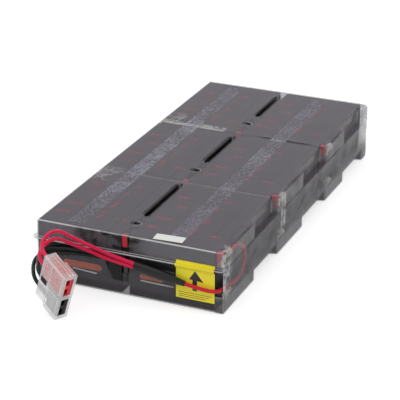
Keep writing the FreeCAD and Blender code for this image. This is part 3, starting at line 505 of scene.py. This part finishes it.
def uneven(name, base, roughness, contrast, bump, gloss, effects, shade):
    """A material in which clouding varies the colour, the gloss and, with bump, the surface."""
    material = plain(name, base, roughness, Specular_IOR_Level=gloss)
    tree, shader = material.node_tree, shader_of(material)
    height = placed(tree, effects.clouds, Scale=25.0, Streaks=140.0)["Height"]
    dark, light = ([min(1, part * factor) for part in base]
                   for factor in (1 - contrast, 1 + contrast))
    paint = mixed(tree, spread(tree, height, 0.35, 0.65), dark, light)
    if name in IN_COLUMN_GAP:
        paint = mixed(tree, placed(tree, effects.gap)["Mask"], paint, shade)
    feed(tree, shader.inputs["Base Color"], paint)
    feed(tree, shader.inputs["Roughness"],
         spread(tree, height, 0.35, 0.65, roughness * 0.85, min(1, roughness * 1.15)))
    if bump:
        raised = tree.nodes.new("ShaderNodeBump")
        raised.inputs["Strength"].default_value = bump
        raised.inputs["Distance"].default_value = 0.0005
        feed(tree, raised.inputs["Height"], height)
        feed(tree, shader.inputs["Normal"], raised.outputs["Normal"])


def opacity(tree, effects, fold, haze, glance, rim, contrast, scale):
    """Opacity of clear plastic: hazier at a low angle and where it is clouded, and on folds and
    rims as a painted highlight.
    """
    facing = tree.nodes.new("ShaderNodeLayerWeight")
    facing.inputs["Blend"].default_value = 0.5
    clouded = math_node(tree, "ADD", placed(tree, effects.clouds, Scale=scale, Streaks=scale * 5,
                                            Contrast=contrast)["Mask"], 1.0)
    body = math_node(tree, "ADD", product(tree, facing.outputs["Facing"], glance), haze)
    return math_node(tree, "ADD", product(tree, body, clouded), product(tree, fold, rim),
                     clamp=True)


def sheet_masks(tree, effects):
    """Masks over the formed sheet by name: its steps, bands, wells, folds and streaks."""
    place = dict(zip("xyz", axes(tree, object_place(tree))))
    masks = {name: spread(tree, place[axis], *ends) for name, (axis, *ends) in STEPS.items()}
    masks.update({name + "_band": band(tree, place[axis], *size)
                  for name, (axis, *size) in BANDS.items()})
    tilt = math_node(tree, "ABSOLUTE", axes(tree, true_normal(tree))[2])
    streaks = placed(tree, effects.clouds, Scale=60.0, Streaks=220.0)["Height"]
    well = least(tree, *(placed(tree, effects.outline, Across=across * MM, Near=near * MM,
                                Far=far * MM, Radius=radius * MM)["Distance"]
                         for across, near, far, radius in WELLS))
    return SimpleNamespace(
        upright=spread(tree, tilt, 0.5, 0.3), streaks=streaks,
        fold=placed(tree, effects.folds)["Mask"],
        crumpled=placed(tree, effects.creases, Scale=75.0, Strength=1.0)["Mask"],
        well=spread(tree, well, 0.0004, -0.0001), well_rim=band(tree, well, 0.0006, 0.0006),
        **{name: spread(tree, streaks, *ends) for name, ends in STREAKS.items()}, **masks)


def pale_highlights_and_wear(tree, on):
    """Painted highlights as pale lines on rims, folds, the flange and press lines, a painted
    reflection on the right side near the front end, and pale creases and scuffs from handling.
    """
    times, most = partial(product, tree), partial(greatest, tree)
    bends = most(on.bend_near_band, on.bend_middle_band, times(on.bend_far_band, on.scuffed))
    press = most(on.press_line_band, times(on.ledge_band, on.right_rows_band))
    crumples = most(on.crumple_near_band, on.crumple_far_band)
    scuffs = most(on.scuff_near_band, on.scuff_far_band)
    return most(
        times(on.upright, on.flange_band, on.flange_end, PALE["flange"]),
        times(on.front, on.front_fold_band, PALE["front_fold"]),
        times(press, on.top, PALE["press"]),
        times(on.well_rim, on.top, on.well_end, PALE["well_end"]),
        times(bends, on.left, on.top, on.broken, PALE["bends"]),
        times(on.left_edge_band, crumples, on.top, on.crumpled, PALE["crumples"]),
        times(on.right, scuffs, on.scuff_level_band, on.broken, PALE["scuffs"]),
        times(on.right, on.right_end, on.end_level_band, on.scuffed, PALE["right_end"]))


def tray_sheet(colours, surface, effects):
    """Formed sheet of the trays: hazy, with clear openings, pale marks, painted light on its
    upright walls, painted shade on its low walls and painted highlights on its folds.
    """
    material = plain("tray_sheet", colours.sheet, 0.16, Specular_IOR_Level=0.4)
    tree, shader = material.node_tree, shader_of(material)
    times, most = partial(product, tree), partial(greatest, tree)
    on = sheet_masks(tree, effects)
    highlights_and_wear = pale_highlights_and_wear(tree, on)

    # Painted shade: the wells and slots are cleared so the dark cases show, in place of the shade
    # inside them.
    wells = times(on.well, on.well_level)
    slot = times(on.row_slot_band, on.right_rows_band, on.slot_level)
    window = times(on.front, on.clear_front_band, on.upper, on.patched)
    seam = times(on.right, most(times(on.fold, on.fold_level), times(on.upright, on.seam_band)))
    pane = times(on.front, on.pane_level_band, on.pane_end)
    clear = most(window, times(most(slot, wells), CLEARED["opening"]), times(seam, CLEARED["seam"]),
                 times(pane, CLEARED["pane"]), times(on.left_flange, CLEARED["left_flange"]))

    hazy = opacity(tree, effects, on.fold, surface.haze, surface.glance, surface.rim,
                   contrast=0.4, scale=18.0)
    uneven_wall = times(math_node(tree, "SUBTRACT", on.streaks, 0.5), on.right, WALL_PATCHES)
    patchy = math_node(tree, "ADD", uneven_wall, 1.0)
    hazy = times(hazy, math_node(tree, "SUBTRACT", 1.0, clear), patchy)
    hazy = math_node(tree, "ADD", hazy, times(on.foot, on.right, PALE["foot"]))
    feed(tree, shader.inputs["Alpha"], math_node(tree, "ADD", hazy, highlights_and_wear, clamp=True))

    # Painted shade on the low walls, reaching higher on the right side.
    low = most(on.low, times(on.right, on.low_right))
    fold_highlight = math_node(tree, "SUBTRACT", TINT["fold"], times(on.right, TINT["fold_right"]))
    # The mixes below paint lighter haze on the upright walls and upper front wall, shade on the low
    # walls, and highlights on folds and pale marks.
    paint = colours.sheet
    for mask, over in ((on.upright, colours.sheet_wall_painted_light),
                       (times(on.front, on.upper), colours.sheet_front_painted_light),
                       (times(low, TINT["low"]), colours.sheet_low_shade), (pane, colours.sheet_pane),
                       (times(on.fold, fold_highlight), colours.sheet_highlight_and_wear),
                       (times(highlights_and_wear, TINT["marks"]), colours.sheet_highlight_and_wear)):
        paint = mixed(tree, mask, paint, over)
    feed(tree, shader.inputs["Base Color"], paint)


def connector_clear(colours, surface, effects):
    """Clear plastic of the connector shell, whose upper facets show the red wires behind them."""
    material = plain("connector_clear", colours.shell, 0.20)
    tree, shader = material.node_tree, shader_of(material)
    turned = tree.nodes.new("ShaderNodeMapping")
    turned.vector_type = "TEXTURE"
    turned.inputs["Location"].default_value = CONNECTOR.to_translation()
    turned.inputs["Rotation"].default_value = CONNECTOR.to_euler()
    tree.links.new(object_place(tree), turned.inputs["Vector"])
    x, _, z = axes(tree, turned.outputs[0])
    facets = placed(tree, effects.clouds, Scale=520.0, Streaks=1500.0)["Height"]
    red = product(tree, spread(tree, z, 0.028, 0.031), band(tree, x, -0.0185, 0.0155),
                  spread(tree, facets, 0.43, 0.58, 0.05, 0.80))
    # Painted highlight: the shell's edges get more opacity of its white.
    hazy = opacity(tree, effects, placed(tree, effects.folds)["Mask"], surface.shell_haze,
                   surface.shell_glance, surface.shell_rim_highlight, contrast=0.25, scale=60.0)
    feed(tree, shader.inputs["Alpha"],
         math_node(tree, "ADD", hazy, product(tree, red, 0.30), clamp=True))
    feed(tree, shader.inputs["Base Color"], mixed(tree, red, colours.shell, colours.shell_red))


def adhesive(colours, effects):
    """Milky film in patches, with pale creases."""
    material = plain("adhesive", colours.tape, 0.35)
    tree, shader = material.node_tree, shader_of(material)
    crease = placed(tree, effects.creases, Scale=190.0, Strength=0.55)["Mask"]
    patches = placed(tree, effects.clouds, Scale=28.0, Streaks=160.0)["Height"]
    milky = spread(tree, patches, 0.40, 0.58, 0.20, 0.50)
    feed(tree, shader.inputs["Alpha"], math_node(tree, "ADD", milky, crease, clamp=True))
    feed(tree, shader.inputs["Base Color"], mixed(tree, crease, colours.tape, colours.tape_crease))


def red_print(colours, effects):
    """Print that has worn away in specks."""
    material = plain("red_print", colours.red_print, 0.5)
    tree = material.node_tree
    specks = placed(tree, effects.clouds, Scale=380.0, Streaks=800.0)["Height"]
    feed(tree, shader_of(material).inputs["Alpha"], spread(tree, specks, 0.42, 0.58, 0.15, 0.90))


def make_finishes(colours, surface):
    """All the materials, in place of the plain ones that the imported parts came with."""
    for material in list(bpy.data.materials):
        bpy.data.materials.remove(material)
    effects = SimpleNamespace(folds=fold_mask(), clouds=cloudiness(), creases=crinkles(),
                              outline=slot_distance(), gap=column_gap())
    for name, paint, roughness, contrast, bump, gloss in FINISHES:
        uneven(name, getattr(colours, paint), roughness, contrast, bump, gloss, effects,
               colours.gap_shade)
    shader_of(finish("tinned")).inputs["Metallic"].default_value = 1.0
    shader_of(finish("rib_line")).inputs["Alpha"].default_value = 0.80
    red_print(colours, effects)
    tray_sheet(colours, surface, effects)
    connector_clear(colours, surface, effects)
    adhesive(colours, effects)


def finish(name):
    return bpy.data.materials[name]


def coat(name, *pieces):
    """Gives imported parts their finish."""
    for piece in pieces:
        mesh = nodes[piece].data
        mesh.materials.clear()
        mesh.materials.append(finish(name))


# ---------------------------------------------------------------- modelling

def settle(name, mesh, material):
    """Turns a bmesh into a finished piece that rides with the cartridge."""
    bmesh.ops.recalc_face_normals(mesh, faces=mesh.faces)
    data = bpy.data.meshes.new(name)
    mesh.to_mesh(data)
    mesh.free()
    data.materials.append(finish(material))
    piece = bpy.data.objects.new(name, data)
    bpy.context.scene.collection.objects.link(piece)
    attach(piece, "root")


def add_block(mesh, centre, extent, turn=None):
    """Adds a block, with its centre and sides in millimetres, and gives back its corners."""
    place = (Matrix.Translation(Vector(centre) * MM) @ (turn or Matrix.Identity(4))
             @ Matrix.Diagonal((*(side * MM for side in extent), 1)))
    return bmesh.ops.create_cube(mesh, size=1, matrix=place)["verts"]


def round_corners(mesh, corners, radius):
    """Rounds the edges of a block that run along Y, with the radius in millimetres."""
    block = set(corners)
    along = [edge for edge in mesh.edges if edge.verts[0] in block
             and abs((edge.verts[0].co - edge.verts[1].co).normalized().y) > 0.99]
    bmesh.ops.bevel(mesh, geom=along, offset=radius * MM, affect="EDGES", segments=5, profile=0.5,
                    material=-1)


def add_outline(mesh, corners, thick):
    """Adds a flat shape of the given corners, thickened by a vector, all in millimetres."""
    face = mesh.faces.new([mesh.verts.new(Vector(corner) * MM) for corner in corners])
    grown = bmesh.ops.extrude_face_region(mesh, geom=[face])
    bmesh.ops.translate(mesh, vec=Vector(thick) * MM, verts=[
        item for item in grown["geom"] if isinstance(item, bmesh.types.BMVert)])


# ---------------------------------------------------------------- stage

class CARTRIDGE_OT_stage(Operator):
    """Camera, lamps, floor and surroundings"""

    bl_idname = "cartridge.stage"
    bl_label = "Stage"

    def execute(self, context):
        scene = context.scene
        self.add_camera(scene)
        self.add_lamps(scene)
        self.add_surroundings(scene)
        self.add_floor(scene)
        scene.view_settings.view_transform = "Standard"
        return {"FINISHED"}

    @staticmethod
    def add_camera(scene):
        data = bpy.data.cameras.new("Camera")
        data.lens = CAMERA_LENS
        data.sensor_width = 36
        data.clip_end = 20
        camera = bpy.data.objects.new("Camera", data)
        camera.location = CAMERA_PLACE
        camera.rotation_euler = CAMERA_TURN
        scene.collection.objects.link(camera)
        scene.camera = camera

    @staticmethod
    def add_lamps(scene):
        for name, spot, size, power in LAMPS:
            data = bpy.data.lights.new(name, "AREA")
            data.shape = "SQUARE"
            data.size = size
            data.energy = power
            lamp = bpy.data.objects.new(name, data)
            lamp.location = spot
            aim = Vector(LAMP_AIM) - Vector(spot)
            lamp.rotation_euler = aim.to_track_quat("-Z", "Y").to_euler()
            scene.collection.objects.link(lamp)

    def add_surroundings(self, scene):
        """Soft even light on the cartridge, and white where it is seen or mirrored."""
        world = bpy.data.worlds.new("Studio")
        world.use_nodes = True
        tree = world.node_tree
        white = tree.nodes["Background"]
        white.inputs["Color"].default_value = (1, 1, 1, 1)
        soft = tree.nodes.new("ShaderNodeBackground")
        soft.inputs["Color"].default_value = (0.98, 0.99, 1.0, 1)
        soft.inputs["Strength"].default_value = SKY_LIGHT
        self.join_by_ray(tree, soft, white, tree.nodes["World Output"])
        scene.world = world

    def add_floor(self, scene):
        """Pale floor that keeps the shadow of the cartridge."""
        mesh = bmesh.new()
        bmesh.ops.create_grid(mesh, x_segments=1, y_segments=1, size=FLOOR_HALF)
        data = bpy.data.meshes.new("floor")
        mesh.to_mesh(data)
        mesh.free()
        material = plain("floor", scene.cartridge_colours.floor, 0.9, Specular_IOR_Level=0.0)
        tree, shader = material.node_tree, shader_of(material)
        lift = tree.nodes.new("ShaderNodeEmission")
        lift.inputs["Strength"].default_value = FLOOR_LIGHT
        both = tree.nodes.new("ShaderNodeAddShader")
        tree.links.new(shader.outputs[0], both.inputs[0])
        tree.links.new(lift.outputs[0], both.inputs[1])
        self.join_by_ray(tree, shader, both, tree.nodes["Material Output"])
        data.materials.append(material)
        floor = bpy.data.objects.new("floor", data)
        floor.location.z = -FLOOR_DROP
        scene.collection.objects.link(floor)

    @staticmethod
    def join_by_ray(tree, lighting, seen, output):
        """Joins two shaders: one that lights the cartridge, and one that is seen or mirrored."""
        rays = tree.nodes.new("ShaderNodeLightPath").outputs
        mix = tree.nodes.new("ShaderNodeMixShader")
        tree.links.new(greatest(tree, rays["Is Camera Ray"], rays["Is Glossy Ray"],
                                rays["Is Transmission Ray"]), mix.inputs[0])
        tree.links.new(lighting.outputs[0], mix.inputs[1])
        tree.links.new(seen.outputs[0], mix.inputs[2])
        tree.links.new(mix.outputs[0], output.inputs["Surface"])


# ---------------------------------------------------------------- leads

class CARTRIDGE_OT_leads(Operator):
    """Leads from the end terminals to the splice and the connector"""

    bl_idname = "cartridge.leads"
    bl_label = "Leads"

    def execute(self, context):
        diameter = context.scene.cartridge_sizes.lead_diameter
        for name, (measured, paint, far_end, route) in LEADS.items():
            curve = bpy.data.curves.new(name, "CURVE")
            curve.dimensions = "3D"
            curve.bevel_depth = diameter / 2
            curve.bevel_resolution = 6
            curve.resolution_u = 12
            curve.use_fill_caps = True
            spline = curve.splines.new("NURBS")
            spline.points.add(len(route) - 1)
            for point, spot in zip(spline.points, route):
                point.co = (*(value * MM for value in spot), 1)
            spline.order_u = 3
            spline.use_endpoint_u = True
            curve.materials.append(finish(paint))
            lead = bpy.data.objects.new(f"{name}_run", curve)
            context.scene.collection.objects.link(lead)
            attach(lead, "root")
            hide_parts(name)
        coat("wire_black", *JUMPERS)
        coat("shrink_sleeve", "splice_sleeve")
        return {"FINISHED"}


# ---------------------------------------------------------------- batteries

class CARTRIDGE_OT_batteries(Operator):
    """Battery cases and the plain fields printed on them"""

    bl_idname = "cartridge.batteries"
    bl_label = "Batteries"

    def execute(self, context):
        coat("battery_case", *BATTERIES)
        thick = context.scene.cartridge_sizes.print_thick / MM
        self.end_fields(thick)
        self.side_fields(thick)
        return {"FINISHED"}

    @staticmethod
    def end_fields(thick):
        """An orange field with a pale line under it on each front end."""
        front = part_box("battery_left_1")[0].y / MM - thick / 2
        orange, pale = bmesh.new(), bmesh.new()
        for left, right, low, high, ((x0, z0), (x1, z1)) in END_FIELDS:
            corners = add_block(orange, ((left + right) / 2, front, (low + high) / 2),
                                (right - left, thick, high - low))
            round_corners(orange, corners, (high - low) * 0.45)
            slope = Matrix.Rotation(math.atan2(z0 - z1, x1 - x0), 4, "Y")
            add_block(pale, ((x0 + x1) / 2, front, (z0 + z1) / 2),
                      (math.hypot(x1 - x0, z1 - z0), thick, PALE_LINE), slope)
        settle("end_print_orange", orange, "orange_print")
        settle("end_print_pale", pale, "white_print")

    @staticmethod
    def side_fields(thick):
        """Short red fields in two rows along the upper side of each battery."""
        fields = bmesh.new()
        for name in BATTERIES:
            low, high = (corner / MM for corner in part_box(name))
            for x, y, wide, long in SIDE_FIELDS:
                add_block(fields, (low.x + x, low.y + y, high.z + thick / 2), (wide, long, thick))
        settle("side_print_red", fields, "red_print")


# ---------------------------------------------------------------- terminals

class CARTRIDGE_OT_terminals(Operator):
    """Terminal blocks, blades, receptacles and their sleeves"""

    bl_idname = "cartridge.terminals"
    bl_label = "Terminals"

    def execute(self, context):
        coat("block_red", "positive_terminal_blocks")
        coat("block_black", "negative_terminal_blocks")
        coat("tinned", "terminal_blades", "wire_receptacles")
        coat("nylon", "nylon_sleeves")
        return {"FINISHED"}


# ---------------------------------------------------------------- trays

class CARTRIDGE_OT_trays(Operator):
    """Formed sheets and the adhesive strips under the upper one"""

    bl_idname = "cartridge.trays"
    bl_label = "Trays"

    def execute(self, context):
        coat("tray_sheet", "top_tray", "bottom_tray")
        coat("adhesive", "left_adhesive_strip", "right_adhesive_strip")
        return {"FINISHED"}


# ---------------------------------------------------------------- labels

class CARTRIDGE_OT_labels(Operator):
    """Blank white label, and the yellow one with its arrow and plain bars"""

    bl_idname = "cartridge.labels"
    bl_label = "Labels"

    def execute(self, context):
        coat("label_white", "top_label")
        coat("label_yellow", "front_label")
        thick = context.scene.cartridge_sizes.print_thick / MM
        marks = bmesh.new()
        add_outline(marks, [(x, LABEL_FACE + thick / 2, z) for x, z in ARROW],
                    (0, -1.5 * thick, 0))
        for left, right, level in BARS:
            add_block(marks, ((left + right) / 2, LABEL_FACE, level),
                      (right - left, thick, BAR_THICK))
        settle("label_marks", marks, "ink")
        return {"FINISHED"}


# ---------------------------------------------------------------- connector

class CARTRIDGE_OT_connector(Operator):
    """Clear shell, contact housings and the raised lines on the shell, painted white as highlights
    """

    bl_idname = "cartridge.connector"
    bl_label = "Connector"

    def execute(self, context):
        coat("connector_clear", "connector_shell_front", "connector_shell_rear")
        coat("housing_red", "red_contact_housing")
        coat("housing_black", "black_contact_housing")
        coat("tinned", "connector_contacts")
        rib = context.scene.cartridge_sizes.rib / MM
        lines = [((x, SHELL_FRONT, z), (wide or rib, RIB_DEPTH, tall or rib))
                 for (x, z), (wide, tall) in FRONT_RIB_HIGHLIGHTS]
        rails = [((SHELL_MIDDLE, y, SHELL_TOP), (long, wide, RIB_DEPTH))
                 for y, long, wide in TOP_RAIL_HIGHLIGHTS]
        # Painted highlights: white raised lines along the shell's ribs and edges.
        self.add_blocks("shell_ribs", "rib_line", lines + rails)
        self.add_blocks("shell_slot", "housing_black", [SHELL_SLOT])
        return {"FINISHED"}

    @staticmethod
    def add_blocks(name, material, places):
        """Thin blocks placed in the connector's own frame, in millimetres."""
        mesh = bmesh.new()
        turn = CONNECTOR.to_3x3().to_4x4()
        for centre, extent in places:
            add_block(mesh, CONNECTOR @ (Vector(centre) * MM) / MM, extent, turn)
        settle(name, mesh, material)


# ---------------------------------------------------------------- add-on

OPERATORS = (CARTRIDGE_OT_stage, CARTRIDGE_OT_leads, CARTRIDGE_OT_batteries, CARTRIDGE_OT_terminals,
             CARTRIDGE_OT_trays, CARTRIDGE_OT_labels, CARTRIDGE_OT_connector)


class CARTRIDGE_PT_panel(Panel):
    """Pieces of the cartridge, with the sizes and colours that they use"""

    bl_idname = "CARTRIDGE_PT_panel"
    bl_label = "Battery cartridge"
    bl_space_type = "VIEW_3D"
    bl_region_type = "UI"
    bl_category = "Cartridge"

    def draw(self, context):
        for operator in OPERATORS:
            self.layout.operator(operator.bl_idname)
        for settings in (context.scene.cartridge_sizes, context.scene.cartridge_surface,
                         context.scene.cartridge_colours):
            column = self.layout.column()
            for label in settings.__annotations__:
                column.prop(settings, label)


CLASSES = (CartridgeColours, CartridgeSizes, CartridgeSurface, *OPERATORS, CARTRIDGE_PT_panel)


def register():
    for item in CLASSES:
        bpy.utils.register_class(item)
    bpy.types.Scene.cartridge_colours = PointerProperty(type=CartridgeColours)
    bpy.types.Scene.cartridge_sizes = PointerProperty(type=CartridgeSizes)
    bpy.types.Scene.cartridge_surface = PointerProperty(type=CartridgeSurface)


def unregister():
    for label in ("cartridge_surface", "cartridge_sizes", "cartridge_colours"):
        delattr(bpy.types.Scene, label)
    for item in reversed(CLASSES):
        bpy.utils.unregister_class(item)


def main():
    register()
    scene = bpy.context.scene
    make_finishes(scene.cartridge_colours, scene.cartridge_surface)
    for operator in ("stage", "leads", "batteries", "terminals", "trays", "labels", "connector"):
        getattr(bpy.ops.cartridge, operator)()


if __name__ == "__main__":
    main()
